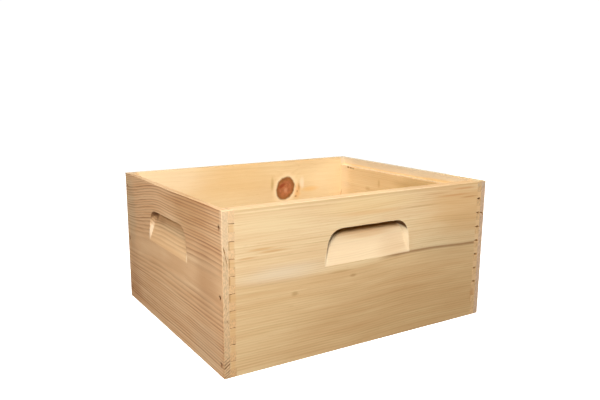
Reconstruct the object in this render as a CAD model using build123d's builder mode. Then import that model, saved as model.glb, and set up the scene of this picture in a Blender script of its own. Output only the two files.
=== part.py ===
from build123d import *
from math import atan2, degrees, radians, tan
import os

# Hive body of the deep ten-frame kind: four pine boards with half-blind finger joints and nailed corners.
# Millimetres. X runs along the long sides, Y along the short ends, Z up from the middle of the footprint.

# Box over its outside faces
body_length = 504.8
body_width = 412.8
body_height = 241.3
board_thickness = 19.0

# Corner joint: tails of the side boards sit in sockets of the end boards, behind a lap that hides them
lap_thickness = 9.5
finger_height = 12.4
finger_gap = 0.8

# Ledges along the inside top of the end boards, on which frames hang
frame_rest_width = 9.5
frame_rest_depth = 15.9

# Handholds: deepest under a square top edge, running out flush at the bottom, with sloping side walls.
# Flare is the lean of the sides across the face, draft the slope of the side walls into the wood, in degrees
handhold_below_rim = 47.5
handhold_width = 167.0
handhold_height = 55.0
handhold_depth = 10.5
handhold_corner_radius = 27.0
handhold_flare = 8.0
handhold_draft = 45.0

# Wire nails with flat heads and four-sided points, driven through the lap into the tails and set below it
nails_per_corner = 3
nail_length = 50.0
nail_diameter = 2.8
nail_head_diameter = 5.6
nail_head_thickness = 1.2
nail_point_length = 4.0
nail_set_depth = 0.8
nail_clearance = 0.1

# Finger pattern: it starts with a pin at the bottom, and the top pin takes what is left above the last tail
finger_pitch = 2 * finger_height
tail_count = int((body_height - frame_rest_depth) / finger_pitch)
lowest_tail = finger_height + finger_height / 2
joint_middle = lowest_tail + (tail_count - 1) * finger_pitch / 2
tail_length = board_thickness - lap_thickness

# Outer faces of the box, each with its origin at the bottom middle, local Y up and local Z outwards
end_faces = {
    "left": Plane(origin=(-body_length / 2, 0, 0), x_dir=(0, -1, 0), z_dir=(-1, 0, 0)),
    "right": Plane(origin=(body_length / 2, 0, 0), x_dir=(0, 1, 0), z_dir=(1, 0, 0)),
}
side_faces = {
    "front": Plane(origin=(0, -body_width / 2, 0), x_dir=(1, 0, 0), z_dir=(0, -1, 0)),
    "rear": Plane(origin=(0, body_width / 2, 0), x_dir=(-1, 0, 0), z_dir=(0, 1, 0)),
}


def nail_planes(end: str, side: str) -> list[Plane]:
    """Planes square to one corner's nails, level with their heads, from the lowest nail to the highest."""
    heads = end_faces[end].offset(-nail_set_depth)
    inset = side_faces[side].offset(-board_thickness / 2).origin.Y
    steps = max(nails_per_corner - 1, 1)
    tails = [round(step * (tail_count - 1) / steps) for step in range(nails_per_corner)]
    levels = [lowest_tail + tail * finger_pitch for tail in tails]
    return [Plane((heads.origin.X, inset, level), x_dir=(0, 0, 1), z_dir=heads.z_dir) for level in levels]


def scoop(face: Plane) -> Part:
    """Wood that the handhold cutter takes out of a board, seen from the board's outer face."""
    top = body_height - handhold_below_rim
    bottom = top - handhold_height
    flare = handhold_height * tan(radians(handhold_flare))
    slope = degrees(atan2(handhold_depth, handhold_height))
    floor = Plane(face.location * Location((0, bottom, 0), (-slope, 0, 0)))
    with BuildPart() as cut:
        for depth in (0, handhold_depth):
            half_width = handhold_width / 2 - depth * tan(radians(handhold_draft))
            with BuildSketch(face.offset(-depth)) as outline:
                with BuildLine():
                    Polyline(
                        (-half_width, bottom),
                        (half_width, bottom),
                        (half_width - flare, top),
                        (flare - half_width, top),
                        close=True,
                    )
                make_face()
                fillet(outline.vertices().group_by(Axis.Y)[-1], radius=handhold_corner_radius)
        loft(ruled=True)
        split(bisect_by=floor, keep=Keep.TOP)
    return cut.part


os.makedirs("parts", exist_ok=True)

# End boards: full width of the box, with sockets at both ends, the frame rest, the handhold and nail holes
for end, face in end_faces.items():
    inner_face = face.offset(-board_thickness)
    handhold = scoop(face)
    with BuildPart() as end_board:
        with BuildSketch(face):
            with Locations((0, body_height / 2)):
                Rectangle(body_width, body_height)
        extrude(amount=-board_thickness)
        with BuildSketch(inner_face):
            with Locations((0, joint_middle)):
                with GridLocations(body_width - board_thickness, finger_pitch, 2, tail_count):
                    Rectangle(board_thickness, finger_height)
        extrude(amount=tail_length, mode=Mode.SUBTRACT)
        with BuildSketch(inner_face):
            with Locations((0, body_height)):
                rest_length = body_width - 2 * board_thickness
                Rectangle(rest_length, frame_rest_depth, align=(Align.CENTER, Align.MAX))
        extrude(amount=frame_rest_width, mode=Mode.SUBTRACT)
        add(handhold, mode=Mode.SUBTRACT)
        for side in side_faces:
            with Locations(*nail_planes(end, side)):
                CounterBoreHole(
                    radius=nail_diameter / 2 + nail_clearance,
                    counter_bore_radius=nail_head_diameter / 2 + nail_clearance,
                    counter_bore_depth=nail_head_thickness,
                    depth=board_thickness,
                )
    end_board.part.label = f"{end}_end_board"
    export_step(end_board.part, f"parts/{end}_end_board.step")

# Side boards: they reach the lap of each end board with a row of tails. A tail is lower than its socket by
# the finger gap, which shows above the tail at the left end of the board and below it at the right end
for side, face in side_faces.items():
    handhold = scoop(face)
    with BuildPart() as side_board:
        with BuildSketch(face):
            with Locations((0, body_height / 2)):
                Rectangle(body_length - 2 * board_thickness, body_height)
            for way in (-1, 1):
                tail_middle = way * (body_length / 2 - board_thickness + tail_length / 2)
                with Locations((tail_middle, joint_middle + way * finger_gap / 2)):
                    with GridLocations(tail_length, finger_pitch, 1, tail_count):
                        Rectangle(tail_length, finger_height - finger_gap)
        extrude(amount=-board_thickness)
        add(handhold, mode=Mode.SUBTRACT)
        for end in end_faces:
            with Locations(*nail_planes(end, side)):
                Hole(radius=nail_diameter / 2 + nail_clearance, depth=nail_length)
    side_board.part.label = f"{side}_side_board"
    export_step(side_board.part, f"parts/{side}_side_board.step")

# Nails, numbered upwards at each corner
point_slope = 90 + degrees(atan2(nail_diameter / 2, nail_point_length))
for end in end_faces:
    for side in side_faces:
        for number, plane in enumerate(nail_planes(end, side), start=1):
            with BuildPart() as nail:
                with BuildSketch(plane):
                    Circle(nail_head_diameter / 2)
                extrude(amount=-nail_head_thickness)
                with BuildSketch(plane):
                    Circle(nail_diameter / 2)
                extrude(amount=-nail_length)
                for turn in range(4):
                    facet = Location((0, 0, -nail_length), (0, 0, 90 * turn)) * Rotation(0, point_slope, 0)
                    split(bisect_by=Plane(plane.location * facet), keep=Keep.BOTTOM)
            nail.part.label = f"nail_{end}_{side}_{number}"
            export_step(nail.part, f"parts/nail_{end}_{side}_{number}.step")
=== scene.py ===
"""Looks of a deep hive body: four pine boards with finger-jointed corners, the nails in them and a studio.

Values whose names end in _mm are in millimetres and the rest are in metres, in the part's own frame: X along
the long sides, Y along the short ends and Z up from the middle of the footprint.
"""

import logging
import math
import random
from dataclasses import dataclass, field
from enum import Enum

import bmesh
import bpy
from bpy.types import ID, Material, Mesh, Node, NodeSocket, NodeTree, Object
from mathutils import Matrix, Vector


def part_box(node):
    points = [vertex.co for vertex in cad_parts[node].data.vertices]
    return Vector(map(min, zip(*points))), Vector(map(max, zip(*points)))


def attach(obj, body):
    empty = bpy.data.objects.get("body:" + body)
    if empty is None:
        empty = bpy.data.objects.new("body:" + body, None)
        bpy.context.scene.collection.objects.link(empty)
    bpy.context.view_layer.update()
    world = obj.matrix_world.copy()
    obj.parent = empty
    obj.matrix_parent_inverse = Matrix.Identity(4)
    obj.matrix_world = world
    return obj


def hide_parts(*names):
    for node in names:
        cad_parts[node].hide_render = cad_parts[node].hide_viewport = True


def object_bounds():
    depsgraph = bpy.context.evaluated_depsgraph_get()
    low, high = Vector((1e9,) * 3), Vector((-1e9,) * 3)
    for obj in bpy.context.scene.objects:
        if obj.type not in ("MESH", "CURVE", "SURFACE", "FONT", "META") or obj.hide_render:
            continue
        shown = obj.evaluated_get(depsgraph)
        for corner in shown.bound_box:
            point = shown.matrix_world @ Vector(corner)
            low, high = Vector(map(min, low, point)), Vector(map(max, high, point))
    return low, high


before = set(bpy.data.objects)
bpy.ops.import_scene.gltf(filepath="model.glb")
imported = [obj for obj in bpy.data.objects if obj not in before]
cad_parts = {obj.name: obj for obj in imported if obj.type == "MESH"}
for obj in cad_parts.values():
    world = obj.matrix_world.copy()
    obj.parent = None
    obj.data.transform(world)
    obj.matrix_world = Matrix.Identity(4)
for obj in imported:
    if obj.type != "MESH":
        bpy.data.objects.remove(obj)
CAD_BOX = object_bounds()

LOG = logging.getLogger("hive_body")
BODY = "root"
MM = 0.001
PICTURE_WIDTH = 600
BOARD_MM = 19.0
WHITE = "#FFFFFF"
# Share of torn fibres on each face
TORN = "torn_and_shaded"
# Which way each nail's head looks
OUTWARD = "outward"
# A length so great that what is divided by it no longer counts
ENDLESS_MM = 1e6

# Kinds of node that are used often, some with an option that they are set to
MATH = "ShaderNodeMath"
TIMES = "ShaderNodeMath.MULTIPLY"
MINUS = "ShaderNodeMath.SUBTRACT"
TIMES_PLUS = "ShaderNodeMath.MULTIPLY_ADD"
ABSOLUTE = "ShaderNodeMath.ABSOLUTE"
VECTOR = "ShaderNodeVectorMath"
SCALED = "ShaderNodeVectorMath.SCALE"
LENGTH = "ShaderNodeVectorMath.LENGTH"
RANGE = "ShaderNodeMapRange"
SMOOTH = "ShaderNodeMapRange.SMOOTHSTEP"
MIX = "ShaderNodeMix.RGBA"
SPLIT = "ShaderNodeSeparateXYZ"
JOIN = "ShaderNodeCombineXYZ"
NOISE = "ShaderNodeTexNoise"
COORDINATES = "ShaderNodeTexCoord"
BUMP = "ShaderNodeBump"
SURFACE = "ShaderNodeBsdfPrincipled"
OUTPUT = "ShaderNodeOutputMaterial"
MOVE = "GeometryNodeTransform"
OPTIONS = {MATH: "operation", VECTOR: "operation", RANGE: "interpolation_type", "ShaderNodeMix": "data_type"}

Pair = tuple[float, float]
Triple = tuple[float, float, float]
Colour = tuple[float, float, float, float]
Link = Node | NodeSocket | float | str | tuple[float, ...]


def linear(colour: str) -> Colour:
    """Turns an sRGB colour into a linear one.

    Args:
        colour: Six hex digits after a hash sign.

    Returns:
        Linear red, green and blue, and an alpha of one.
    """
    shares = [int(colour[i:i + 2], 16) / 255 for i in (1, 3, 5)]
    red, green, blue = [c / 12.92 if c <= 0.04045 else ((c + 0.055) / 1.055) ** 2.4 for c in shares]
    return red, green, blue, 1.0


def put(data: ID) -> Object:
    """Puts a mesh, light or camera into the scene.

    Args:
        data: The mesh, light or camera.

    Returns:
        Its object, which has the same name.
    """
    thing = bpy.data.objects.new(data.name, data)
    bpy.context.scene.collection.objects.link(thing)
    return thing


def put_shape(name: str, bm: bmesh.types.BMesh) -> Object:
    """Puts a finished shape into the scene.

    Args:
        name: Name of its mesh and object.
        bm: The shape, which is used up.

    Returns:
        Its object.
    """
    mesh = bpy.data.meshes.new(name)
    bm.to_mesh(mesh)
    bm.free()
    return put(mesh)


def settle(piece: Object) -> None:
    """Turns an object with modifiers into a plain mesh.

    Args:
        piece: The object, whose modifiers are removed.
    """
    evaluated = piece.evaluated_get(bpy.context.evaluated_depsgraph_get())
    mesh = bpy.data.meshes.new_from_object(evaluated)
    mesh.name = piece.name
    piece.modifiers.clear()
    piece.data = mesh


def nail_nodes(end: str = "") -> list[str]:
    """Names of the CAD nodes of all nails, or of those in one end."""
    return sorted(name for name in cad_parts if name.startswith(f"nail_{end}"))


@dataclass
class Graph:
    """Node tree under construction."""

    tree: NodeTree

    def add(
        self, kind: str, *inputs: Link, named: dict[str, Link] | None = None, **settings: object
    ) -> Node:
        """Adds one node with its settings and links.

        Args:
            kind: Blender's name for the kind of node, with its option after a dot.
            inputs: For each input in use, in order, its value or sRGB colour, or what feeds it.
            named: The same for inputs by name.
            settings: Other properties of the node, which are set before its inputs.

        Returns:
            The new node.
        """
        kind, _, option = kind.partition(".")
        node = self.tree.nodes.new(kind)
        if option:
            settings[OPTIONS[kind]] = option
        for name, value in settings.items():
            setattr(node, name, value)
        feeds = list(zip([socket for socket in node.inputs if socket.enabled], inputs))
        feeds += [(node.inputs[name], value) for name, value in (named or {}).items()]
        for socket, value in feeds:
            if isinstance(value, Node):
                value = next(output for output in value.outputs if output.enabled)
            if isinstance(value, NodeSocket):
                self.tree.links.new(value, socket)
            elif isinstance(value, str) and value.startswith("#"):
                socket.default_value = linear(value)
            else:
                socket.default_value = value
        return node


class Grain(Enum):
    """Way that a board lies."""

    ALONG_SIDE = ("X", "Y", 206.4, 233.4)
    ALONG_END = ("Y", "X", 252.4, 187.4)

    def __init__(self, along: str, through: str, face_mm: float, shoulder_mm: float) -> None:
        """Names the parts of the value.

        Args:
            along: Axis of the board's length.
            through: Axis of its thickness.
            face_mm: How far out its outer face is.
            shoulder_mm: How far out its joints begin.
        """
        self.along = along
        self.through = through
        self.face_mm = face_mm
        self.shoulder_mm = shoulder_mm


class Side(Enum):
    """Side of a board that has patches: which way its faces look."""

    OUTER = 1.0
    INNER = -1.0


class Blend(Enum):
    """How a patch meets the wood under it."""

    COVER = "MIX"
    DARKEN = "MULTIPLY"


@dataclass(frozen=True)
class Tint:
    """Soft-edged patch of another tone.

    Its middle and reach are measured along the board and up it, and its core is the part at full strength.
    """

    at_mm: Pair
    reach_mm: Pair
    colour: str
    strength: float
    core: float = 0.2
    turn_deg: float = 0.0
    blend: Blend = Blend.COVER


@dataclass(frozen=True)
class Knot:
    """Sound red knot, left by a branch, with the marks on it."""

    at_mm: Pair
    reach_mm: Pair
    turn_deg: float
    heart: str = "#B3683E"
    rim: str = "#8E5829"
    halo: str = "#F6DAAE"
    ring_mm: float = 3.4
    bulge_mm: float = 7.0
    bulge: Pair = (0.5, 2.3)
    marks: tuple[Tint, ...] = ()


@dataclass(frozen=True)
class Sweep:
    """Bend of the trunk: the growth rings move up by rise_mm between two places along the board.

    The bend begins at one height of the board and is full at another.
    """

    span_mm: Pair
    rise_mm: float
    heights_mm: Pair = (-2.0, -1.0)


@dataclass(frozen=True)
class Heartwood:
    """Older, tanner wood inside one growth ring, which shows on the face as a dark line."""

    radius_mm: float
    colour: str
    strength: float
    line: str
    line_strength: float
    line_span_mm: Pair
    line_mm: float


@dataclass(frozen=True)
class Finish:
    """Finish of a surface, by its material's name."""

    name: str

    def make(self) -> Material:
        """Builds the material.

        Returns:
            The material with its nodes.
        """
        material = bpy.data.materials.new(self.name)
        material.use_nodes = True
        graph = Graph(material.node_tree)
        graph.tree.nodes.clear()
        self.paint(graph)
        return material

    def paint(self, graph: Graph) -> None:
        """Adds the nodes of the finish to an empty graph."""
        raise NotImplementedError


@dataclass(frozen=True)
class Pine(Finish):
    """Planed, unpainted pine.

    The growth rings go round a pith line, so a face shows stripes, arches or arcs by the way that the saw
    went. Late wood is a thin tan band with a sharp outer edge. Planing leaves the face matt, with fibres and
    resin canals just visible, and end grain is browner because it is rougher.
    """

    grain: Grain
    seed: float
    early: str
    late: str
    pith_mm: Pair
    ring_mm: float
    late_share: float = 0.45
    ring_strength: Pair = (0.3, 1.0)
    season_swing: float = 1.4
    fade: float = 0.4
    flat_share: float = 0.2
    streak: float = 0.05
    streak_mm: Pair = (170.0, 8.0)
    lean: float = 0.0
    rise: float = 0.0
    sweeps: tuple[Sweep, ...] = ()
    wander_mm: float = 7.0
    heart: Heartwood | None = None
    resin: str = "#A36F3C"
    fresh: str = "#F0DCBC"
    fresh_share: float = 0.45
    sawn: str = "#EEEDEC"
    joint: str = "#BC8440"
    # Torn fibres: their own darker colour, and painted shade in the grooves
    torn_and_shaded: str = "#9E6E3A"
    # Painted shade on the handhold's sloping walls that look down, near the face
    underside_shade: str = "#5E3200"
    underside_shade_share: float = 0.95
    lap_end: str = "#E8CBA8"
    pin_end: str = "#E2BC8C"
    end_late: str = "#A87A4E"
    end_rings: Pair = (0.4, 0.4)
    # Warm tone of the deepest cut: part scorch, part painted warm light in the shadow under the top edge
    scorch_and_bounce: str = "#E7A452"
    scorch_and_bounce_share: float = 0.75
    knots: tuple[Knot, ...] = ()
    tinted_side: Side = Side.OUTER
    tints: tuple[Tint, ...] = ()
    stains: tuple[Tint, ...] = ()

    def paint(self, graph: Graph) -> None:
        """Adds the nodes of the wood."""
        PineNodes(graph.tree, self).paint()


@dataclass
class PineNodes(Graph):
    """Nodes of one board's pine, which lay one tone over another.

    They share coordinates in millimetres along the grain, up the board and through it. The timber's are
    shifted, so that no two boards share a pattern, and the branches' lean as they go out through the board.
    """

    pine: Pine

    # Cells of the patterns: fibres, their bundles, resin canals and pores are drawn coarser than real ones,
    # which are too fine to show
    WANDER_MM = (330, 120, 120)
    RIPPLE_MM = (70, 12, 12)
    FADING_MM = (85, 7, 7)
    BROAD_MM = (240, 42, 42)
    BUNDLE_MM = (110, 1.3, 1.3)
    FIBRE_MM = (34, 0.5, 0.5)
    CANAL_MM = (17, 0.55, 0.55)
    PORE_MM = (30, 0.9, 0.9)
    BLOTCH_MM = (30, 4.5, 2.2)
    STRAY_MM = (90, 14, 14)
    RAGGED_MM = (9, 9, 60)
    MOTTLE_MM = (7, 7, 40)
    # From one board's patterns to the next one's
    SEED_MM = (970, 310, 130)
    RIPPLE_SHIFT_MM = 0.8
    STRAY_SHARE = 0.5
    # A pattern's middle, most of its values and nearly all of them
    MIDDLE = (0.5, 0.5, 0.5)
    MOST = (0.3, 0.7)
    NEARLY_ALL = (0.28, 0.72)
    # How fast wide and narrow rings take turns, and where in a year late wood begins, is full and ends
    SEASON_RATE = 0.14
    LATE_START = 0.75
    LATE_FULL = 0.94
    LATE_END = (1.0, 0.95)
    # Other pairs say where something begins and where it is full, and fours also how full
    STEEP = (0.0, 0.45)
    CANALS = (0.7, 0.78, 0.0, 0.4)
    HEART_EDGE_MM = (-4.0, 5.0)
    # By how squarely a face looks out: what was cut after planing, without the walls of the joints
    CUT = (0.998, 0.988)
    NO_WALL = (0.2, 0.45)
    # By depth: where the deepest cut gets its warm tone, part scorch and part painted warm light in the
    # shadow
    SCORCH_AND_BOUNCE_MM = (7.6, 9.3)
    # By depth, less so many millimetres as the face looks down: painted shade on walls that look down
    UNDERSIDE_SHADE_MM = (-3.4, -7.4)
    DOWN_MM = 22.0
    LEVEL = (0.8, 0.95)
    RIM_MM = 1.0
    END_ON = (0.75, 0.95)
    BEHIND_LAP_MM = (1.0, -0.5)
    FOOT_MM = (20.0, 36.0)
    PIN_RINGS = (0.0, 1.0, 1.0, 0.2)
    # Patches leave out faces that look the other way
    SHOWN = -0.5
    # Swing of the wood's tone, and its parts in red, green and blue: dark streaks are warmer than pale ones
    SWING = 0.06
    WARMTH = (0.5, 1.0, 1.4)
    PORE_GAIN = (0.9, 1.08)
    BLOTCH_GAIN = (0.8, 1.14)
    # Parts of a knot, whose outline is at one
    KNOT_RAGGED = 0.22
    KNOT_CENTRE = (0.12, 0.22, 0.0)
    KNOT_RINGS = (0.3, 1.0, 0.0, 0.5)
    KNOT_RIM = (0.55, 1.0)
    KNOT_EDGE = (1.2, 1.0)
    KNOT_HALO = (1.6, 1.2, 0.0, 0.5)
    KNOT_GAIN = (0.8, 1.2)
    # Late wood is smoother than early wood, and planing leaves it a little proud
    ROUGHNESS = (0.62, 0.5)
    SPECULAR = 0.35
    IOR = 1.5
    RELIEF_MM = 0.06
    RELIEF = 0.6
    LATE_RELIEF = 0.5

    def __post_init__(self) -> None:
        """Adds the coordinates and the other things that the methods share."""
        grain = self.pine.grain
        metric = self.add(SCALED, self.add(COORDINATES).outputs["Object"], 1 / MM)
        parts = self.add(SPLIT, metric).outputs
        self.along, self.up, through = parts[grain.along], parts["Z"], parts[grain.through]
        self.out = self.add(ABSOLUTE, through)
        self.board = self.add(JOIN, self.along, self.up, through)
        self.timber = self.add(VECTOR, self.board, tuple(self.pine.seed * step for step in self.SEED_MM))
        gone = self.add(MINUS, self.out, grain.face_mm - BOARD_MM)
        moved = self.add(JOIN, self.add(TIMES, gone, self.pine.lean))
        self.branch = self.add(VECTOR, self.board, moved, operation="SUBTRACT")
        self.knots = [(knot, self.around(knot, self.branch)) for knot in self.pine.knots]
        self.normal = self.add(SPLIT, self.add("ShaderNodeNewGeometry").outputs["Normal"]).outputs
        way = self.add(MATH, through, operation="SIGN")
        self.outward = self.add(TIMES, self.normal[grain.through], way)
        self.stray = self.centred(self.STRAY_MM, 3)
        self.bundles = self.pattern(self.BUNDLE_MM, 3)

    def paint(self) -> None:
        """Adds all that makes up the wood, from its growth rings to its surface."""
        pine = self.pine
        self.grow()
        self.ripen()
        self.tone()
        if pine.heart:
            self.tan(pine.heart)
        self.freshen()
        self.saw_edges()
        self.cut_ends()
        self.tint(pine.tints, pine.tinted_side)
        self.tint(pine.stains, Side.OUTER)
        for knot, place in self.knots:
            self.knot(knot, place)
            self.tint(knot.marks, pine.tinted_side)
        # Torn fibres, darkened partly as painted shade in the grooves
        torn_and_shaded = self.add("ShaderNodeAttribute", attribute_name=TORN).outputs["Fac"]
        self.colour = self.add(MIX, torn_and_shaded, self.colour, pine.torn_and_shaded)
        self.shade()

    def pattern(self, cell_mm: Triple, detail: float, space: Link | None = None) -> Node:
        """Adds soft noise with cells of one size and so many finer ones, in the timber or another space."""
        cells = self.add(VECTOR, self.timber if space is None else space, cell_mm, operation="DIVIDE")
        return self.add(NOISE, cells, 1.0, detail)

    def centred(self, cell_mm: Triple, detail: float) -> Node:
        """Adds a pattern of vectors about nought and returns its last node."""
        noise = self.pattern(cell_mm, detail).outputs["Color"]
        return self.add(VECTOR, noise, self.MIDDLE, operation="SUBTRACT")

    def around(self, spot: Tint | Knot, space: Link) -> Node:
        """Adds coordinates round a spot on the board, in which the spot's outline is the unit circle.

        Args:
            spot: The patch or knot.
            space: Coordinates in which it lies.

        Returns:
            Mapping node.
        """
        turn = (0.0, 0.0, math.radians(spot.turn_deg))
        size = (*spot.reach_mm, ENDLESS_MM)
        return self.add("ShaderNodeMapping", space, (*spot.at_mm, 0.0), turn, size, vector_type="TEXTURE")

    def grow(self) -> None:
        """Adds the distance from the wandering pith, and how steeply the rings stand to the board's face."""
        pine = self.pine
        point = self.board
        for cell_mm, shift_mm in ((self.WANDER_MM, pine.wander_mm), (self.RIPPLE_MM, self.RIPPLE_SHIFT_MM)):
            point = self.add(VECTOR, point, self.add(SCALED, self.centred(cell_mm, 1.5), 2 * shift_mm))
        along, up, _ = self.add(SPLIT, point).outputs
        up_mm, through_mm = pine.pith_mm
        line = self.add(TIMES_PLUS, along, pine.rise, up_mm)
        for sweep in pine.sweeps:
            rise = self.add(RANGE, up, *sweep.heights_mm, 0.0, sweep.rise_mm)
            line = self.add(MATH, line, self.add(SMOOTH, along, *sweep.span_mm, 0.0, rise))
        pith = self.add(JOIN, along, line, through_mm)
        arm = self.add(VECTOR, point, pith, operation="SUBTRACT")
        self.radius = self.add(LENGTH, arm)
        for knot, place in self.knots:
            span = (*knot.bulge, knot.bulge_mm, 0.0)
            bulge = self.add(RANGE, self.add(LENGTH, place), *span, interpolation_type="SMOOTHERSTEP")
            self.radius = self.add(MATH, self.radius, bulge)
        slant = self.add(MATH, self.add(SPLIT, arm).outputs["Y"], self.radius, operation="DIVIDE")
        self.slant = self.add(ABSOLUTE, slant)

    def ripen(self) -> None:
        """Adds the late wood, which comes and goes and is faint where the rings lie flat to the face."""
        pine = self.pine
        years = self.add(MATH, self.radius, pine.ring_mm, operation="DIVIDE")
        seasons = self.add(NOISE, years, self.SEASON_RATE, 1.0, noise_dimensions="1D")
        years = self.add(TIMES_PLUS, seasons, pine.season_swing, years)
        phase = self.add(MATH, years, operation="FRACT")
        ring = self.add(MATH, years, operation="FLOOR")
        draw = self.add("ShaderNodeTexWhiteNoise", ring, noise_dimensions="1D")
        self.late = self.add(SMOOTH, phase, self.LATE_START - pine.late_share, self.LATE_FULL)
        shares = (
            self.add(RANGE, phase, *self.LATE_END),
            self.add(RANGE, draw, 0.0, 1.0, *pine.ring_strength),
            self.add(RANGE, self.pattern(self.FADING_MM, 2), *self.MOST, pine.fade),
            self.add(RANGE, self.slant, *self.STEEP, pine.flat_share),
        )
        for share in shares:
            self.late = self.add(TIMES, self.late, share)

    def tone(self) -> None:
        """Adds the wood's own colour."""
        pine = self.pine
        colour = self.add(MIX, self.late, pine.early, pine.late)
        grain = self.add(JOIN, self.add(SPLIT, self.timber).outputs["X"], self.radius)
        swings = (
            (self.pattern(self.BROAD_MM, 2), self.SWING),
            (self.pattern((*pine.streak_mm, 1.0), 2, grain), pine.streak),
            (self.bundles, self.SWING),
            (self.pattern(self.FIBRE_MM, 2), self.SWING),
        )
        for noise, swing in swings:
            share = self.add(RANGE, noise, *self.NEARLY_ALL)
            dark, light = [tuple(1 + way * swing * part for part in self.WARMTH) for way in (-1, 1)]
            gain = self.add(MIX, share, (*dark, 1.0), (*light, 1.0))
            colour = self.add(VECTOR, colour, gain, operation="MULTIPLY")
        dash = self.add(RANGE, self.pattern(self.CANAL_MM, 1), *self.CANALS)
        self.colour = self.add(MIX, dash, colour, pine.resin)

    def tan(self, heart: Heartwood) -> None:
        """Tans the heartwood and draws the line where it ends.

        Args:
            heart: The heartwood.
        """
        inside = self.add(MINUS, heart.radius_mm, self.radius)
        share = self.add(SMOOTH, inside, *self.HEART_EDGE_MM, 0.0, heart.strength)
        colour = self.add(MIX, share, self.colour, heart.colour, blend_type="MULTIPLY")
        near = self.add(SMOOTH, self.add(ABSOLUTE, inside), heart.line_mm, 0.0)
        drawn = self.add(SMOOTH, self.along, *heart.line_span_mm, 0.0, heart.line_strength)
        self.colour = self.add(MIX, self.add(TIMES, near, drawn), colour, heart.line)

    def freshen(self) -> None:
        """Pales what was cut after planing, warms its deepest part with scorch and painted light, and paints
        shade on walls that look down.
        """
        pine = self.pine
        facing = self.add(ABSOLUTE, self.normal[pine.grain.through])
        leaning = self.add(RANGE, facing, *self.CUT, 0.0, pine.fresh_share)
        share = self.add(TIMES, leaning, self.add(RANGE, facing, *self.NO_WALL))
        colour = self.add(MIX, share, self.colour, pine.fresh)
        depth = self.add(MINUS, pine.grain.face_mm, self.out)
        # Warm tone of the deepest cut: part scorch, part painted warm light in the shadow under the top edge
        scorched_and_lit = self.add(RANGE, depth, *self.SCORCH_AND_BOUNCE_MM, 0.0, pine.scorch_and_bounce_share / pine.fresh_share)
        # Painted shade on the handhold's sloping walls that look down, near the face
        lower = self.add(TIMES_PLUS, self.normal["Z"], self.DOWN_MM, depth)
        underside_shaded = self.add(SMOOTH, lower, *self.UNDERSIDE_SHADE_MM, 0.0, pine.underside_shade_share / pine.fresh_share)
        for part, tone in ((scorched_and_lit, pine.scorch_and_bounce), (underside_shaded, pine.underside_shade)):
            colour = self.add(MIX, self.add(TIMES, part, share), colour, tone)
        self.colour = colour

    def saw_edges(self) -> None:
        """Darkens the sawn edges, rougher than planed faces, and most of all the walls in the joints."""
        pine = self.pine
        share = self.add(RANGE, self.add(ABSOLUTE, self.normal["Z"]), *self.LEVEL)
        colour = self.add(MIX, share, self.colour, pine.sawn, blend_type="MULTIPLY")
        along = self.add(ABSOLUTE, self.along)
        past = self.add(MATH, along, pine.grain.shoulder_mm, operation="GREATER_THAN")
        middle_mm = CAD_BOX[1].z / MM / 2
        away = self.add(ABSOLUTE, self.add(MINUS, self.up, middle_mm))
        within = self.add(MATH, away, middle_mm - self.RIM_MM, operation="LESS_THAN")
        for part in (past, within):
            share = self.add(TIMES, share, part)
        self.colour = self.add(MIX, share, colour, pine.joint)

    def cut_ends(self) -> None:
        """Gives end grain its own colour: the lap pale, the pins behind it warmer."""
        pine = self.pine
        lap_mm = pine.grain.face_mm - BOARD_MM / 2
        behind = self.add(RANGE, self.out, *(lap_mm + step for step in self.BEHIND_LAP_MM))
        rough = self.add(MIX, behind, pine.lap_end, pine.pin_end)
        at_rim, at_foot = pine.end_rings
        clear = self.add(SMOOTH, self.up, *self.FOOT_MM, at_foot, at_rim)
        shown = self.add(TIMES, self.late, clear, use_clamp=True)
        shown = self.add(TIMES, shown, self.add(RANGE, behind, *self.PIN_RINGS))
        rough = self.add(MIX, shown, rough, pine.end_late)
        for cell_mm, gains in ((self.PORE_MM, self.PORE_GAIN), (self.BLOTCH_MM, self.BLOTCH_GAIN)):
            gain = self.add(RANGE, self.pattern(cell_mm, 2), *self.MOST, *gains)
            rough = self.add(SCALED, rough, gain)
        facing = self.add(ABSOLUTE, self.normal[pine.grain.along])
        self.colour = self.add(MIX, self.add(RANGE, facing, *self.END_ON), self.colour, rough)

    def tint(self, tints: tuple[Tint, ...], side: Side) -> None:
        """Lays patches of other tones over the colour.

        Args:
            tints: The patches.
            side: Side of the board that has them, and its edges.
        """
        facing = self.add(TIMES, self.outward, side.value)
        shown = self.add(MATH, facing, self.SHOWN, operation="GREATER_THAN")
        for tint in tints:
            shift = (*(self.STRAY_SHARE * reach for reach in tint.reach_mm), 0.0)
            strayed = self.add(VECTOR, self.stray, shift, self.branch, operation="MULTIPLY_ADD")
            reach = self.add(LENGTH, self.around(tint, strayed))
            share = self.add(TIMES, self.add(SMOOTH, reach, 1.0, tint.core, 0.0, tint.strength), shown)
            blend = tint.blend.value
            self.colour = self.add(MIX, share, self.colour, tint.colour, blend_type=blend)

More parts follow.
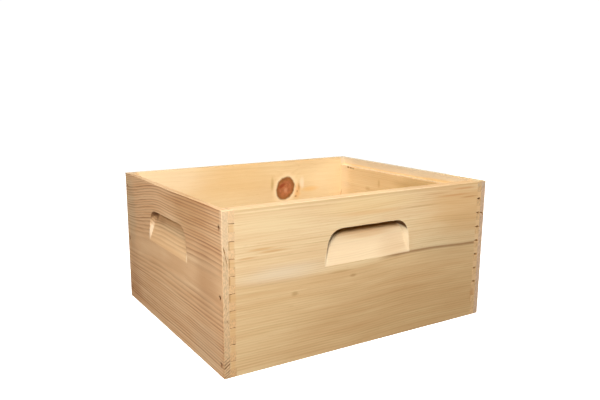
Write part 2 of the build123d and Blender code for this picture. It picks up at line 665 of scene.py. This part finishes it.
    def knot(self, knot: Knot, place: Link) -> None:
        """Lays one knot over the colour.

        Args:
            knot: The knot.
            place: Coordinates round it.
        """
        ragged = self.pattern(self.RAGGED_MM, 3)
        edge = self.add(TIMES_PLUS, ragged, self.KNOT_RAGGED, self.add(LENGTH, place))
        turns = self.add(LENGTH, self.add(VECTOR, place, self.KNOT_CENTRE))
        turns = self.add(TIMES_PLUS, turns, knot.reach_mm[0] / knot.ring_mm, ragged)
        ringed = self.add(RANGE, self.add(MATH, turns, operation="FRACT"), *self.KNOT_RINGS)
        dark = self.add(MATH, ringed, self.add(SMOOTH, edge, *self.KNOT_RIM), operation="MAXIMUM")
        body = self.add(MIX, dark, knot.heart, knot.rim)
        gain = self.add(RANGE, self.pattern(self.MOTTLE_MM, 2), *self.MOST, *self.KNOT_GAIN)
        body = self.add(SCALED, body, gain)
        colour = self.add(MIX, self.add(SMOOTH, edge, *self.KNOT_HALO), self.colour, knot.halo)
        self.colour = self.add(MIX, self.add(SMOOTH, edge, *self.KNOT_EDGE), colour, body)

    def shade(self) -> None:
        """Adds the surface: colour, roughness and the relief of rings and fibres."""
        height = self.add(TIMES_PLUS, self.late, self.LATE_RELIEF, self.bundles)
        relief = {"Strength": self.RELIEF, "Distance": self.RELIEF_MM * MM, "Height": height}
        look = {
            "Base Color": self.colour,
            "Roughness": self.add(RANGE, self.late, 0.0, 1.0, *self.ROUGHNESS),
            "Normal": self.add(BUMP, named=relief),
            "IOR": self.IOR,
            "Specular IOR Level": self.SPECULAR,
        }
        self.add(OUTPUT, self.add(SURFACE, named=look))


@dataclass(frozen=True)
class NailSteel(Finish):
    """Drawn steel wire, dulled by handling: dark grey with a brown bloom where it has begun to rust."""

    name: str = "dulled_wire_steel"
    bare: str = "#76583C"
    rust: str = "#7A4A22"
    mottle_mm: float = 1.2
    mottle_detail: float = 3.0
    bloom: Pair = (0.3, 0.5)
    roughness: float = 0.75
    relief: float = 0.4
    relief_mm: float = 0.05

    def paint(self, graph: Graph) -> None:
        """Adds the nodes of the steel.

        Args:
            graph: The material's empty graph.
        """
        place = graph.add(COORDINATES).outputs["Object"]
        mottle = graph.add(NOISE, place, 1 / (self.mottle_mm * MM), self.mottle_detail)
        share = graph.add(RANGE, mottle, *self.bloom)
        relief = {"Strength": self.relief, "Distance": self.relief_mm * MM, "Height": mottle}
        look = {
            "Base Color": graph.add(MIX, share, self.bare, self.rust),
            "Metallic": graph.add(MINUS, 1.0, share),
            "Roughness": self.roughness,
            "Normal": graph.add(BUMP, named=relief),
        }
        graph.add(OUTPUT, graph.add(SURFACE, named=look))


@dataclass(frozen=True)
class LightTable(Finish):
    """Opal acrylic of a photographer's table: matt on top and lit from below, so that shadows stay faint."""

    name: str = "opal_acrylic_sheet"
    light: str = "#F7F7F6"
    shade: str = "#F2F2F1"
    mottle_mm: float = 400.0
    roughness: float = 1.0
    specular: float = 0.0
    glow: float = 0.62

    def paint(self, graph: Graph) -> None:
        """Adds the nodes of the sheet.

        Args:
            graph: The material's empty graph.
        """
        mottle = graph.add(NOISE, graph.add(COORDINATES).outputs["Object"], 1 / (self.mottle_mm * MM))
        look = {
            "Base Color": graph.add(MIX, mottle, self.light, self.shade),
            "Roughness": self.roughness,
            "Specular IOR Level": self.specular,
            "Emission Color": WHITE,
            "Emission Strength": self.glow,
        }
        graph.add(OUTPUT, graph.add(SURFACE, named=look))


@dataclass(frozen=True)
class Tear:
    """Place where fibres broke out: a ragged groove in a face.

    The groove's bottom lies to one side by the lean, a share of its half width: above nought it is on the
    side of outward × along. A groove whose bottom lies low stays dark, because the light comes from above.
    """

    at_mm: Triple
    along: Triple
    outward: Triple
    length_mm: float
    width_mm: float
    depth_mm: float
    seed: int
    lean: float = 0.0

    STEPS = 7
    PROUD_MM = 0.4
    # Under one, the groove is blunt at its ends
    TAPER = 0.6
    # What the draws give: shift along the groove, sway of its bottom, half width and depth
    SHIFT = 0.03
    SWAY = 0.25
    WIDTHS = (0.6, 1.3)
    DEPTHS = (0.6, 1.0)

    def cut(self, bm: bmesh.types.BMesh) -> None:
        """Adds the groove's shape to a cutter.

        Args:
            bm: The cutter's mesh.
        """
        draw = random.Random(self.seed)
        middle = Vector(self.at_mm) * MM
        out = Vector(self.outward).normalized()
        along = Vector(self.along).normalized()
        across = out.cross(along)
        proud = out * (self.PROUD_MM * MM)
        rows = []
        for step in range(1, self.STEPS + 1):
            share = step / (self.STEPS + 1)
            swell = math.sin(math.pi * share) ** self.TAPER
            shift = share - 0.5 + draw.uniform(-self.SHIFT, self.SHIFT)
            spot = middle + along * (shift * self.length_mm * MM)
            half = self.width_mm / 2 * swell * MM
            sway = across * ((self.lean + draw.uniform(-self.SWAY, self.SWAY)) * half)
            rows.append([
                bm.verts.new(spot + across * (half * draw.uniform(*self.WIDTHS)) + proud),
                bm.verts.new(spot - across * (half * draw.uniform(*self.WIDTHS)) + proud),
                bm.verts.new(spot + sway - out * (self.depth_mm * swell * draw.uniform(*self.DEPTHS) * MM)),
            ])
        reach = along * (self.length_mm / 2 * MM)
        first, last = [bm.verts.new(middle + way * reach + proud / 2) for way in (-1, 1)]
        for i, j in ((0, 1), (1, 2), (2, 0)):
            bm.faces.new((first, rows[0][j], rows[0][i]))
            for row, after in zip(rows, rows[1:]):
                bm.faces.new((row[i], row[j], after[j], after[i]))
            bm.faces.new((last, rows[-1][i], rows[-1][j]))


@dataclass
class Board:
    """One board of the box: the CAD solid with eased arrises and torn fibres."""

    node: str
    finish: Pine
    slot: str
    tears: list[Tear] = field(default_factory=list)
    arris_mm: float = 0.5
    joint_arris_mm: float = 0.1
    arris_segments: int = 2
    crisp_deg: float = 20.0
    round_deg: float = 50.0

    # Faces square to an axis or broader than this are flat, and the rest are parts of rounds
    SQUARE = 0.9999
    BROAD_MM2 = 150.0
    MERGE_MM = 0.005
    FLAT_DEG = 0.2
    NEAR_MM = 0.05
    # Shorter edges are those of the nail holes, which stay crisp
    SHORT_MM = 0.7
    # Taking a corner of two edges out can leave another one
    MEND_PASSES = 4

    def build(self) -> Object:
        """Makes the board's mesh.

        Returns:
            Its object.
        """
        bm = bmesh.new()
        bm.from_mesh(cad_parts[self.node].data)
        bmesh.ops.remove_doubles(bm, verts=bm.verts[:], dist=self.MERGE_MM * MM)
        flat = math.radians(self.FLAT_DEG)
        bmesh.ops.dissolve_limit(bm, angle_limit=flat, verts=bm.verts[:], edges=bm.edges[:])
        self.weigh(bm)
        piece = put_shape(f"pine_{self.node}", bm)
        bevel = piece.modifiers.new("arrises", "BEVEL")
        bevel.width = self.arris_mm * MM
        bevel.segments = self.arris_segments
        bevel.limit_method = "WEIGHT"
        bevel.use_clamp_overlap = True
        settle(piece)
        if self.tears:
            self.tear(piece)
        piece.data.set_sharp_from_angle(angle=math.radians(self.round_deg))
        for face in piece.data.polygons:
            square = max(abs(part) for part in face.normal) > self.SQUARE
            face.use_smooth = not square and face.area < self.BROAD_MM2 * MM ** 2
        return piece

    def weigh(self, bm: bmesh.types.BMesh) -> None:
        """Says how far each edge is eased: free arrises fully, those of the joints hardly.

        Args:
            bm: The board's mesh.
        """
        grain = self.finish.grain
        axis_along = "XYZ".index(grain.along)
        planes = [corner / MM for corner in CAD_BOX]
        layer = bm.edges.layers.float.new("bevel_weight_edge")
        for edge in bm.edges:
            if edge.calc_length() < self.SHORT_MM * MM:
                continue
            if len(edge.link_faces) != 2 or edge.calc_face_angle_signed() < math.radians(self.crisp_deg):
                continue
            ends = [vert.co / MM for vert in edge.verts]
            hull = sum(
                all(abs(end[axis] - plane[axis]) < self.NEAR_MM for end in ends)
                for axis in range(3)
                for plane in planes
            )
            middle = (ends[0] + ends[1]) / 2
            joined = abs(middle[axis_along]) > grain.shoulder_mm - self.NEAR_MM
            edge[layer] = self.joint_arris_mm / self.arris_mm if joined and hull < 2 else 1.0

    def tear(self, piece: Object) -> None:
        """Breaks the torn places out of the board.

        Args:
            piece: The board's object.
        """
        bm = bmesh.new()
        for tear in self.tears:
            tear.cut(bm)
        bmesh.ops.recalc_face_normals(bm, faces=bm.faces[:])
        cutter = put_shape("tears", bm)
        torn_and_shaded = cutter.data.attributes.new(TORN, "FLOAT", "FACE")
        torn_and_shaded.data.foreach_set("value", [1.0] * len(cutter.data.polygons))
        cut = piece.modifiers.new("tears", "BOOLEAN")
        cut.operation = "DIFFERENCE"
        cut.solver = "EXACT"
        cut.use_self = True
        cut.object = cutter
        settle(piece)
        bpy.data.objects.remove(cutter)
        self.mend(piece.data)

    def mend(self, mesh: Mesh) -> None:
        """Splits the faces at the tears into triangles that share no more than an edge.

        Args:
            mesh: The torn mesh, which is changed.
        """
        bm = bmesh.new()
        bm.from_mesh(mesh)
        for _ in range(self.MEND_PASSES):
            spare = [vert for vert in bm.verts if len(vert.link_edges) == 2]
            bmesh.ops.dissolve_verts(bm, verts=spare)
        torn_and_shaded = bm.faces.layers.float[TORN]
        rims = [edge for edge in bm.edges if any(face[torn_and_shaded] for face in edge.link_faces)]
        bmesh.ops.triangulate(bm, faces=list({face: None for edge in rims for face in edge.link_faces}))
        bm.to_mesh(mesh)
        bm.free()

    def dress(self, piece: Object) -> None:
        """Gives the board its finish and its place on the part.

        Args:
            piece: The board's object.
        """
        piece.data.materials.clear()
        piece.data.materials.append(self.finish.make())
        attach(piece, BODY)
        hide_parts(self.node)


@dataclass
class Nails:
    """Flat-headed wire nails with four-sided points that hold the corners, as one mesh."""

    finish: NailSteel = NailSteel()
    slot: str = "nail_steel"
    head_diameter_mm: float = 5.6
    head_thickness_mm: float = 1.2
    shank_diameter_mm: float = 2.8
    point_mm: float = 4.0
    point_sides: int = 4
    sides: int = 28
    tilt_deg: float = 1.2
    seed: int = 4

    def sizes(self) -> dict[str, float]:
        """Works out the sizes of a nail.

        Returns:
            The node tree's inputs for them, with their values.
        """
        spans = [high.x - low.x for low, high in map(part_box, nail_nodes())]
        return {
            "Head diameter": self.head_diameter_mm * MM,
            "Head thickness": self.head_thickness_mm * MM,
            "Shank diameter": self.shank_diameter_mm * MM,
            "Shank length": min(spans) - self.point_mm * MM,
            "Point length": self.point_mm * MM,
        }

    def tree(self) -> NodeTree:
        """Builds the node tree that sets a nail at each point.

        Returns:
            The node tree.
        """
        tree = bpy.data.node_groups.new("nail_set", "GeometryNodeTree")
        tree.interface.new_socket("Geometry", in_out="INPUT", socket_type="NodeSocketGeometry")
        for name in self.sizes():
            socket = tree.interface.new_socket(name, in_out="INPUT", socket_type="NodeSocketFloat")
            socket.subtype = "DISTANCE"
        tree.interface.new_socket("Steel", in_out="INPUT", socket_type="NodeSocketMaterial")
        tree.interface.new_socket("Geometry", in_out="OUTPUT", socket_type="NodeSocketGeometry")
        graph = Graph(tree)
        given = graph.add("NodeGroupInput").outputs
        radii = [graph.add(TIMES, given[name], 0.5) for name in ("Head diameter", "Shank diameter")]
        nail = graph.add("GeometryNodeJoinGeometry")
        for radius, length in zip(radii, (given["Head thickness"], given["Shank length"])):
            size = {"Vertices": self.sides, "Radius": radius, "Depth": length}
            rod = graph.add("GeometryNodeMeshCylinder", named=size)
            drop = graph.add(JOIN, 0.0, 0.0, graph.add(TIMES, length, -0.5))
            part = graph.add(MOVE, named={"Geometry": rod, "Translation": drop})
            tree.links.new(part.outputs[0], nail.inputs[0])
        size = {"Vertices": self.point_sides, "Radius Top": 0.0, "Radius Bottom": radii[1]}
        cone = graph.add("GeometryNodeMeshCone", named={**size, "Depth": given["Point length"]})
        drop = graph.add(JOIN, 0.0, 0.0, graph.add(TIMES, given["Shank length"], -1.0))
        place = {"Geometry": cone, "Translation": drop, "Rotation": (math.pi, 0.0, math.pi / 4)}
        tree.links.new(graph.add(MOVE, named=place).outputs[0], nail.inputs[0])
        outward = graph.add("GeometryNodeInputNamedAttribute", OUTWARD, data_type="FLOAT_VECTOR")
        square = graph.add("FunctionNodeAlignRotationToVector", named={"Vector": outward}, axis="Z")
        tilt = math.radians(self.tilt_deg)
        draws = {"Min": (-tilt, -tilt, 0.0), "Max": (tilt, tilt, math.tau), "Seed": self.seed}
        lean = graph.add("FunctionNodeRandomValue", named=draws, data_type="FLOAT_VECTOR")
        turn = graph.add("FunctionNodeEulerToRotation", lean)
        driven = graph.add("FunctionNodeRotateRotation", square, turn, rotation_space="LOCAL")
        place = {"Points": given["Geometry"], "Instance": nail, "Rotation": driven}
        placed = graph.add("GeometryNodeInstanceOnPoints", named=place)
        real = graph.add("GeometryNodeRealizeInstances", placed)
        done = graph.add("GeometryNodeSetMaterial", named={"Geometry": real, "Material": given["Steel"]})
        graph.add("NodeGroupOutput", done)
        return tree

    def build(self) -> Object:
        """Sets the nails on the heads' places in the CAD model.

        Returns:
            All nails as one object.
        """
        places = []
        for low, high in map(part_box, nail_nodes()):
            middle = (low + high) / 2
            places.append((high.x if middle.x > 0 else low.x, middle.y, middle.z))
        mesh = bpy.data.meshes.new("nails")
        mesh.from_pydata(places, [], [])
        outward = mesh.attributes.new(OUTWARD, "FLOAT_VECTOR", "POINT")
        for item, place in zip(outward.data, places):
            item.vector = (math.copysign(1.0, place[0]), 0.0, 0.0)
        piece = put(mesh)
        modifier = piece.modifiers.new("nail_set", "NODES")
        modifier.node_group = self.tree()
        given = {**self.sizes(), "Steel": self.finish.make()}
        for socket in modifier.node_group.interface.items_tree:
            if socket.in_out == "INPUT" and socket.name in given:
                modifier[socket.identifier] = given[socket.name]
        settle(piece)
        return piece

    def dress(self, piece: Object) -> None:
        """Gives the nails their place on the part.

        Args:
            piece: The nails' object.
        """
        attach(piece, BODY)
        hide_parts(*nail_nodes())


@dataclass(frozen=True)
class Lamp:
    """Round soft lamp, placed by where it stands as seen from the box.

    Its azimuth is counted from the front towards the left.
    """

    name: str
    azimuth_deg: float
    elevation_deg: float
    watts: float
    distance: float
    diameter: float
    glossy: bool = True

    def hang(self, aim: Vector) -> None:
        """Hangs the lamp and turns it to the box.

        Args:
            aim: Point that it shines at.
        """
        azimuth, elevation = math.radians(self.azimuth_deg), math.radians(self.elevation_deg)
        level = math.cos(elevation)
        way = Vector((-math.sin(azimuth) * level, -math.cos(azimuth) * level, math.sin(elevation)))
        data = bpy.data.lights.new(self.name, "AREA")
        data.shape = "DISK"
        data.size = self.diameter
        data.energy = self.watts
        lamp = put(data)
        lamp.location = aim + way * self.distance
        lamp.rotation_euler = (-way).to_track_quat("-Z", "Y").to_euler()
        lamp.visible_glossy = self.glossy


@dataclass
class Studio:
    """Light table, soft lamps before and behind the box, and a dim white room."""

    sheet: LightTable = LightTable()
    sheet_radius: float = 1.8
    sheet_sides: int = 96
    eye: Triple = (-0.6035, -0.9429, 0.4118)
    aim: Triple = (0.0987, 0.2309, 0.1200)
    focal_px: float = 627.63
    shift: Pair = (0.0344, 0.0224)
    sensor_mm: float = 36.0
    lit_point: Triple = (-0.05, -0.1, 0.17)
    lamps: tuple[Lamp, ...] = (
        Lamp("low_lamp", 50, 30, watts=18.9, distance=1.8, diameter=0.63),
        Lamp("key_lamp", 30, 50, watts=54.0, distance=2.6, diameter=0.91),
        Lamp("fill_lamp", -50, 35, watts=13.5, distance=2.6, diameter=0.91),
        Lamp("high_lamp", 50, 70, watts=16.4, distance=1.8, diameter=0.63),
        Lamp("left_lamp", 85, 0, watts=5.6, distance=1.8, diameter=0.4),
        Lamp("rear_lamp", 212, 9, watts=30.0, distance=2.2, diameter=0.8, glossy=False),
    )
    horizon: Pair = (-0.05, 0.05)
    room_colour: str = "#FFE3BC"
    room_strength: float = 0.08
    backdrop_strength: float = 1.05

    def build(self) -> None:
        """Sets up table, light and camera."""
        self.table()
        for lamp in self.lamps:
            lamp.hang(Vector(self.lit_point))
        self.room()
        self.camera()
        settings = bpy.context.scene.view_settings
        settings.view_transform = "Standard"
        settings.look = "None"

    def table(self) -> None:
        """Lays the sheet that the box stands on, which throws no light back on the box."""
        bm = bmesh.new()
        bmesh.ops.create_circle(bm, cap_ends=True, radius=self.sheet_radius, segments=self.sheet_sides)
        table = put_shape("table", bm)
        table.data.materials.append(self.sheet.make())
        table.visible_diffuse = False
        table.visible_glossy = False

    def room(self) -> None:
        """Makes the room: white to look at, and a dim, warm light from above."""
        world = bpy.data.worlds.new("room")
        world.use_nodes = True
        world.node_tree.nodes.clear()
        graph = Graph(world.node_tree)
        way = graph.add(COORDINATES).outputs["Generated"]
        height = graph.add(SPLIT, way).outputs["Z"]
        light = graph.add(RANGE, height, *self.horizon, 0.0, self.room_strength)
        seen = graph.add("ShaderNodeLightPath").outputs["Is Camera Ray"]
        strength = graph.add(RANGE, seen, 0.0, 1.0, light, self.backdrop_strength)
        colour = graph.add(MIX, seen, self.room_colour, WHITE)
        graph.add("ShaderNodeOutputWorld", graph.add("ShaderNodeBackground", colour, strength))
        bpy.context.scene.world = world

    def camera(self) -> None:
        """Sets the camera at the photograph's viewpoint."""
        data = bpy.data.cameras.new("camera")
        data.sensor_fit = "HORIZONTAL"
        data.sensor_width = self.sensor_mm
        data.lens = self.focal_px / PICTURE_WIDTH * self.sensor_mm
        data.shift_x, data.shift_y = self.shift
        camera = put(data)
        camera.location = self.eye
        camera.rotation_euler = (Vector(self.aim) - Vector(self.eye)).to_track_quat("-Z", "Y").to_euler()
        bpy.context.scene.camera = camera


def nail_stains(end: str) -> tuple[Tint, ...]:
    """Patches for the dark rings that the nails leave in one end."""
    middles = [(low + high) / 2 / MM for low, high in map(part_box, nail_nodes(end))]
    return tuple(Tint((middle.y, middle.z), (5, 6), "#744620", 0.55, core=0.4) for middle in middles)


FRONT_PINE = Pine(
    name="planed_pine_front",
    grain=Grain.ALONG_SIDE,
    seed=1.0,
    early="#EDCD9E",
    late="#CFAA75",
    pith_mm=(-190.0, -60.0),
    ring_mm=3.4,
    ring_strength=(0.15, 0.75),
    streak=0.09,
    rise=-0.008,
    sweeps=(Sweep((-60, 98), rise_mm=6.0), Sweep((118, 260), rise_mm=-4.0)),
    wander_mm=2.5,
    fresh="#EED9B8",
    sawn="#DFDAD9",
    heart=Heartwood(
        radius_mm=354.0,
        colour="#F3EDE4",
        strength=1.0,
        line="#8E5E30",
        line_strength=0.7,
        line_span_mm=(15.0, 60.0),
        line_mm=3.8,
    ),
    tints=(
        Tint((-152, 141), (105, 19), "#EADCC6", 0.4, core=0.0),
        Tint((8, 213), (90, 5), "#DDA263", 0.4),
        Tint((105, 212), (60, 2), "#B98B54", 0.45),
        Tint((-172, 176), (38, 2.4), "#CC8E4C", 0.45),
        Tint((-192, 181), (32, 2.6), "#D2964F", 0.45),
        Tint((-214, 171), (22, 2.2), "#CC8E4C", 0.4),
        # Painted light on the side walls of the handhold
        Tint((77, 160), (6.5, 24), "#FFE6BE", 0.55, turn_deg=10),
        Tint((-80.5, 152), (4.5, 16), "#FFE8C0", 0.8, turn_deg=-10),
        Tint((-170, 215), (80, 26), "#F0D6A6", 0.4),
        Tint((0, 226), (120, 22), "#F6D394", 0.35),
        # Handled upper arris, and painted warm light in the shadow at the top of the handhold
        Tint((0, 238.6), (520, 2.2), "#C79F66", 0.35, core=0.4),
        Tint((0, 190.2), (80, 4.6), "#FFC272", 0.6, core=0.5),
        # Warmer tone towards the right, and painted shade where the light falls off: darker towards the
        # right, the foot and round the handhold
        Tint((205, 200), (140, 70), "#DDA868", 0.52),
        Tint((120, 25), (370, 140), "#E7DED3", 0.85, core=0.15, blend=Blend.DARKEN),
        Tint((190, 150), (140, 60), "#EFEFEE", 0.75, blend=Blend.DARKEN),
        Tint((50, 152), (48, 26), "#EFE6DE", 0.7, blend=Blend.DARKEN),
        Tint((0, 177.5), (84, 8), "#EEDDCA", 0.7, blend=Blend.DARKEN),
        # Red streaks and small specks
        Tint((203, 233), (40, 2.4), "#CB8446", 0.5),
        Tint((178, 223), (60, 2.2), "#CB8446", 0.45),
        Tint((214, 217), (30, 2), "#C07C42", 0.5),
        Tint((138, 229), (45, 2), "#C68F58", 0.4),
        Tint((-137, 106), (8, 5), "#B08450", 0.5),
        Tint((-30, 117), (9, 3.5), "#AE7E4A", 0.5),
        Tint((-55, 127), (30, 3.5), "#B98B54", 0.4),
        # Wood next to the corner joints
        Tint((-238, 120), (6.5, 170), "#DDAC72", 0.5, core=0.5),
        Tint((239, 120), (7, 170), "#EBC494", 0.5, core=0.5),
        Tint((-242.4, 155), (2, 80), "#A06E38", 0.6, core=0.4),
        Tint((236, 38), (7, 26), "#B4743E", 0.45),
    ),
)
REAR_PINE = Pine(
    name="planed_pine_rear",
    grain=Grain.ALONG_SIDE,
    seed=2.0,
    early="#E5C491",
    late="#D6B27C",
    pith_mm=(180.0, 290.0),
    ring_mm=3.6,
    ring_strength=(0.1, 0.6),
    lean=0.85,
    tinted_side=Side.INNER,
    knots=(
        Knot(
            at_mm=(87.6, 184.3),
            reach_mm=(22.0, 26.0),
            turn_deg=-30.0,
            marks=(
                Tint((79.5, 190), (14, 6), "#8E3A16", 0.85, turn_deg=30),
                Tint((88, 180), (7, 9), "#CC8A5E", 0.8),
                Tint((80, 172), (7, 9), "#B2683A", 0.6),
            ),
        ),
    ),
    tints=(
        Tint((-190, 225), (150, 60), "#F0DCB8", 0.4),
        Tint((200, 200), (80, 60), "#F2D9AA", 0.45),
        Tint((-20, 210), (120, 55), "#DDAF6E", 0.4),
        # Bark and resin round the knot
        Tint((55.5, 195), (5.5, 20), "#BE9352", 0.65),
        Tint((121.8, 183.5), (3, 11), "#A0743A", 0.7),
        Tint((130, 193), (8, 19), "#F9DFBE", 0.6),
        Tint((117, 176), (12, 22), "#E5A256", 0.6),
        Tint((113.5, 186), (2.2, 5), "#98602A", 0.5),
        Tint((117.5, 175), (2.6, 4), "#A86C30", 0.7),
        Tint((114, 165), (4.5, 3), "#98602A", 0.7),
        Tint((150, 178), (30, 8), "#E9B05C", 0.45),
    ),
    stains=(
        Tint((-110, 72), (210, 8), "#BC864C", 0.4),
        Tint((80, 38), (190, 20), "#E2AC6C", 0.4),
        Tint((-150, 214), (110, 5), "#C48F55", 0.35),
        Tint((-50, 104), (8, 4), "#A46C38", 0.5),
    ),
)
LEFT_PINE = Pine(
    name="planed_pine_left",
    grain=Grain.ALONG_END,
    seed=3.0,
    early="#E0B588",
    late="#8A4719",
    late_share=0.5,
    season_swing=2.2,
    fresh="#CCAB7A",
    fresh_share=0.3,
    # Painted warm light in the handhold's shadow, with some scorch
    scorch_and_bounce="#E8A668",
    scorch_and_bounce_share=0.5,
    # Painted shade on the handhold's walls that look down
    underside_shade="#7A4A22",
    underside_shade_share=0.6,
    pith_mm=(128.0, -322.0),
    ring_mm=3.6,
    sweeps=(Sweep((20, 206), rise_mm=-26.0, heights_mm=(50, 170)),),
    wander_mm=4.0,
    fade=0.5,
    flat_share=0.35,
    streak=0.16,
    streak_mm=(140.0, 7.0),
    sawn="#EEF6FB",
    lap_end="#E4C297",
    pin_end="#E8BE8B",
    end_late="#7E430C",
    end_rings=(0.25, 2.0),
    tints=(
        # Darker patches, and changes of tone
        Tint((-90, 226), (112, 60), "#E9DFD2", 1.0, blend=Blend.DARKEN),
        Tint((-206, 20), (8, 130), "#EFE6DC", 0.6, blend=Blend.DARKEN),
        Tint((185, 30), (60, 60), "#DFCEC4", 0.55, blend=Blend.DARKEN),
        Tint((185, 95), (50, 45), "#EDE6E4", 0.5, blend=Blend.DARKEN),
        Tint((-150, 130), (54, 80), "#EEE8E4", 1.0, blend=Blend.DARKEN),
        Tint((20, 80), (170, 100), "#E6B887", 0.2),
        Tint((-150, 32), (75, 48), "#CEC6A8", 0.14, core=0.3),
        Tint((188, 170), (42, 95), "#F1F9FF", 0.9, core=0.4, blend=Blend.DARKEN),
        Tint((-206, 225), (8, 60), "#EFD2AA", 0.35, core=0.5),
        # Painted shade in the handhold's upper corner and at the top of its floor, and painted light on its
        # side walls
        Tint((62, 184.5), (10, 11), "#80502A", 0.7),
        Tint((40, 180), (24, 7), "#A9744A", 0.35),
        Tint((79.5, 157), (6, 22), "#FFE9C8", 0.6, turn_deg=22),
        Tint((-78, 148), (3.5, 14), "#FFE6C0", 0.5, turn_deg=-10),
    ),
    stains=nail_stains("left"),
)
RIGHT_PINE = Pine(
    name="planed_pine_right",
    grain=Grain.ALONG_END,
    seed=4.0,
    early="#E9C590",
    late="#D5AD75",
    pith_mm=(-60.0, 330.0),
    ring_mm=3.4,
    ring_strength=(0.1, 0.6),
    sawn="#E6F0FB",
    tinted_side=Side.INNER,
    lap_end="#D9B796",
    pin_end="#DDB583",
    tints=(
        # Paler wood near the far inner corner, with painted bounce light
        Tint((185, 200), (42, 90), "#F7DFB8", 0.4, core=0.3),
        Tint((20, 195), (110, 55), "#DDAA66", 0.3),
        # Ledge and the wood above it
        Tint((40, 225.4), (320, 1.8), "#F1DCC6", 0.18, core=0.5),
        Tint((40, 236), (320, 9.5), "#EBD9C0", 0.45, core=0.6),
        Tint((40, 236), (320, 9.5), "#EFF1F2", 1.0, core=0.6, blend=Blend.DARKEN),
        # Painted shade on the inner face towards the front
        Tint((-90, 205), (120, 32), "#E2DCCB", 1.0, core=0.3, blend=Blend.DARKEN),
        # Broken edge of the ledge, darkened with painted shade in the chip
        Tint((160.3, 222.6), (4.5, 2.4), "#5A3614", 0.85, core=0.4),
        Tint((151.2, 222), (5, 2), "#6B4520", 0.7, core=0.4),
        Tint((142.2, 221.4), (5, 1.8), "#6B4520", 0.6, core=0.4),
        Tint((54.5, 200.4), (5, 12), "#B98545", 0.35),
        Tint((90.7, 184.5), (12, 6), "#B98545", 0.3),
    ),
    stains=(
        *nail_stains("right"),
        Tint((-60, 58), (170, 7), "#C08A50", 0.4),
        Tint((100, 212), (120, 5), "#C48F55", 0.35),
        Tint((30, 112), (200, 24), "#E6B070", 0.35),
    ),
)

# Torn fibres, by where the cutter or the saw left the wood
CORNER_GAPS_MM = (210.8, 186.0, 161.2, 136.4, 111.6, 86.8, 62.0)
FRONT_MM = -206.4
FRONT_OUT = (0.0, -1.0, 0.0)
INNER_MM = 233.4
INWARD = (-1.0, 0.0, 0.0)
FRONT_TEARS = [
    Tear((238.0, FRONT_MM, level + 1.6), (1.0, 0.0, 0.05), FRONT_OUT, 7.5, 1.4, 2.6, seed=number, lean=-0.8)
    for number, level in enumerate(CORNER_GAPS_MM)
]
RIGHT_TEARS = [
    Tear((238.2, FRONT_MM, level - 0.3), (1.0, 0.0, -0.04), FRONT_OUT, 7.5, 1.4, 2.6, seed=number, lean=-0.9)
    for number, level in enumerate(CORNER_GAPS_MM, start=20)
] + [
    Tear((245.0, FRONT_MM, 186.4), (1.0, 0.0, -0.25), FRONT_OUT, 8.5, 2.2, 2.6, seed=40, lean=-0.8),
    Tear((249.2, FRONT_MM, 183.4), (0.65, 0.0, -0.75), FRONT_OUT, 7.5, 2.0, 2.4, seed=41, lean=-0.8),
    Tear((INNER_MM, 160.3, 222.8), (0.0, -1.0, 0.0), INWARD, 8.0, 3.6, 3.0, seed=42, lean=-0.85),
    Tear((INNER_MM, 150.0, 222.2), (0.0, -1.0, 0.0), INWARD, 9.0, 2.6, 2.0, seed=45, lean=-0.85),
    Tear((INNER_MM, 184.5, 162.0), (0.0, -0.3, 1.0), INWARD, 22.0, 1.6, 2.4, seed=43),
    Tear((INNER_MM, 185.0, 128.0), (0.0, -1.0, 0.0), INWARD, 5.0, 4.0, 3.0, seed=44, lean=-0.8),
]
LEFT_TEARS = [
    Tear((-249.3, FRONT_MM, 186.0), (0.24, 0.0, -1.0), FRONT_OUT, 14.0, 1.9, 1.4, seed=50, lean=-0.6),
    Tear((-246.6, FRONT_MM, 172.0), (0.2, 0.0, -1.0), FRONT_OUT, 18.0, 1.4, 1.2, seed=51, lean=-0.6),
    Tear((-250.4, FRONT_MM, 168.0), (0.1, 0.0, -1.0), FRONT_OUT, 8.0, 1.0, 1.0, seed=52, lean=-0.6),
    Tear((-248.0, FRONT_MM, 106.0), (0.2, 0.0, -1.0), FRONT_OUT, 7.0, 1.0, 1.0, seed=53, lean=-0.6),
    Tear((-245.5, FRONT_MM, 84.0), (0.3, 0.0, -1.0), FRONT_OUT, 7.0, 1.2, 1.1, seed=54, lean=-0.6),
]


def main() -> None:
    """Builds the hive body's looks and the studio, and reports each piece."""
    boards: list[Board] = [
        Board("front_side_board", FRONT_PINE, "side_pine", FRONT_TEARS),
        Board("rear_side_board", REAR_PINE, "side_pine"),
        Board("left_end_board", LEFT_PINE, "end_pine", LEFT_TEARS),
        Board("right_end_board", RIGHT_PINE, "end_pine", RIGHT_TEARS),
    ]
    for maker in (*boards, Nails()):
        piece = maker.build()
        maker.dress(piece)
        LOG.info("%s: %d faces", piece.name, len(piece.data.polygons))
    Studio().build()


if __name__ == "__main__":
    logging.basicConfig(level=logging.INFO, format="%(name)s: %(message)s")
    main()
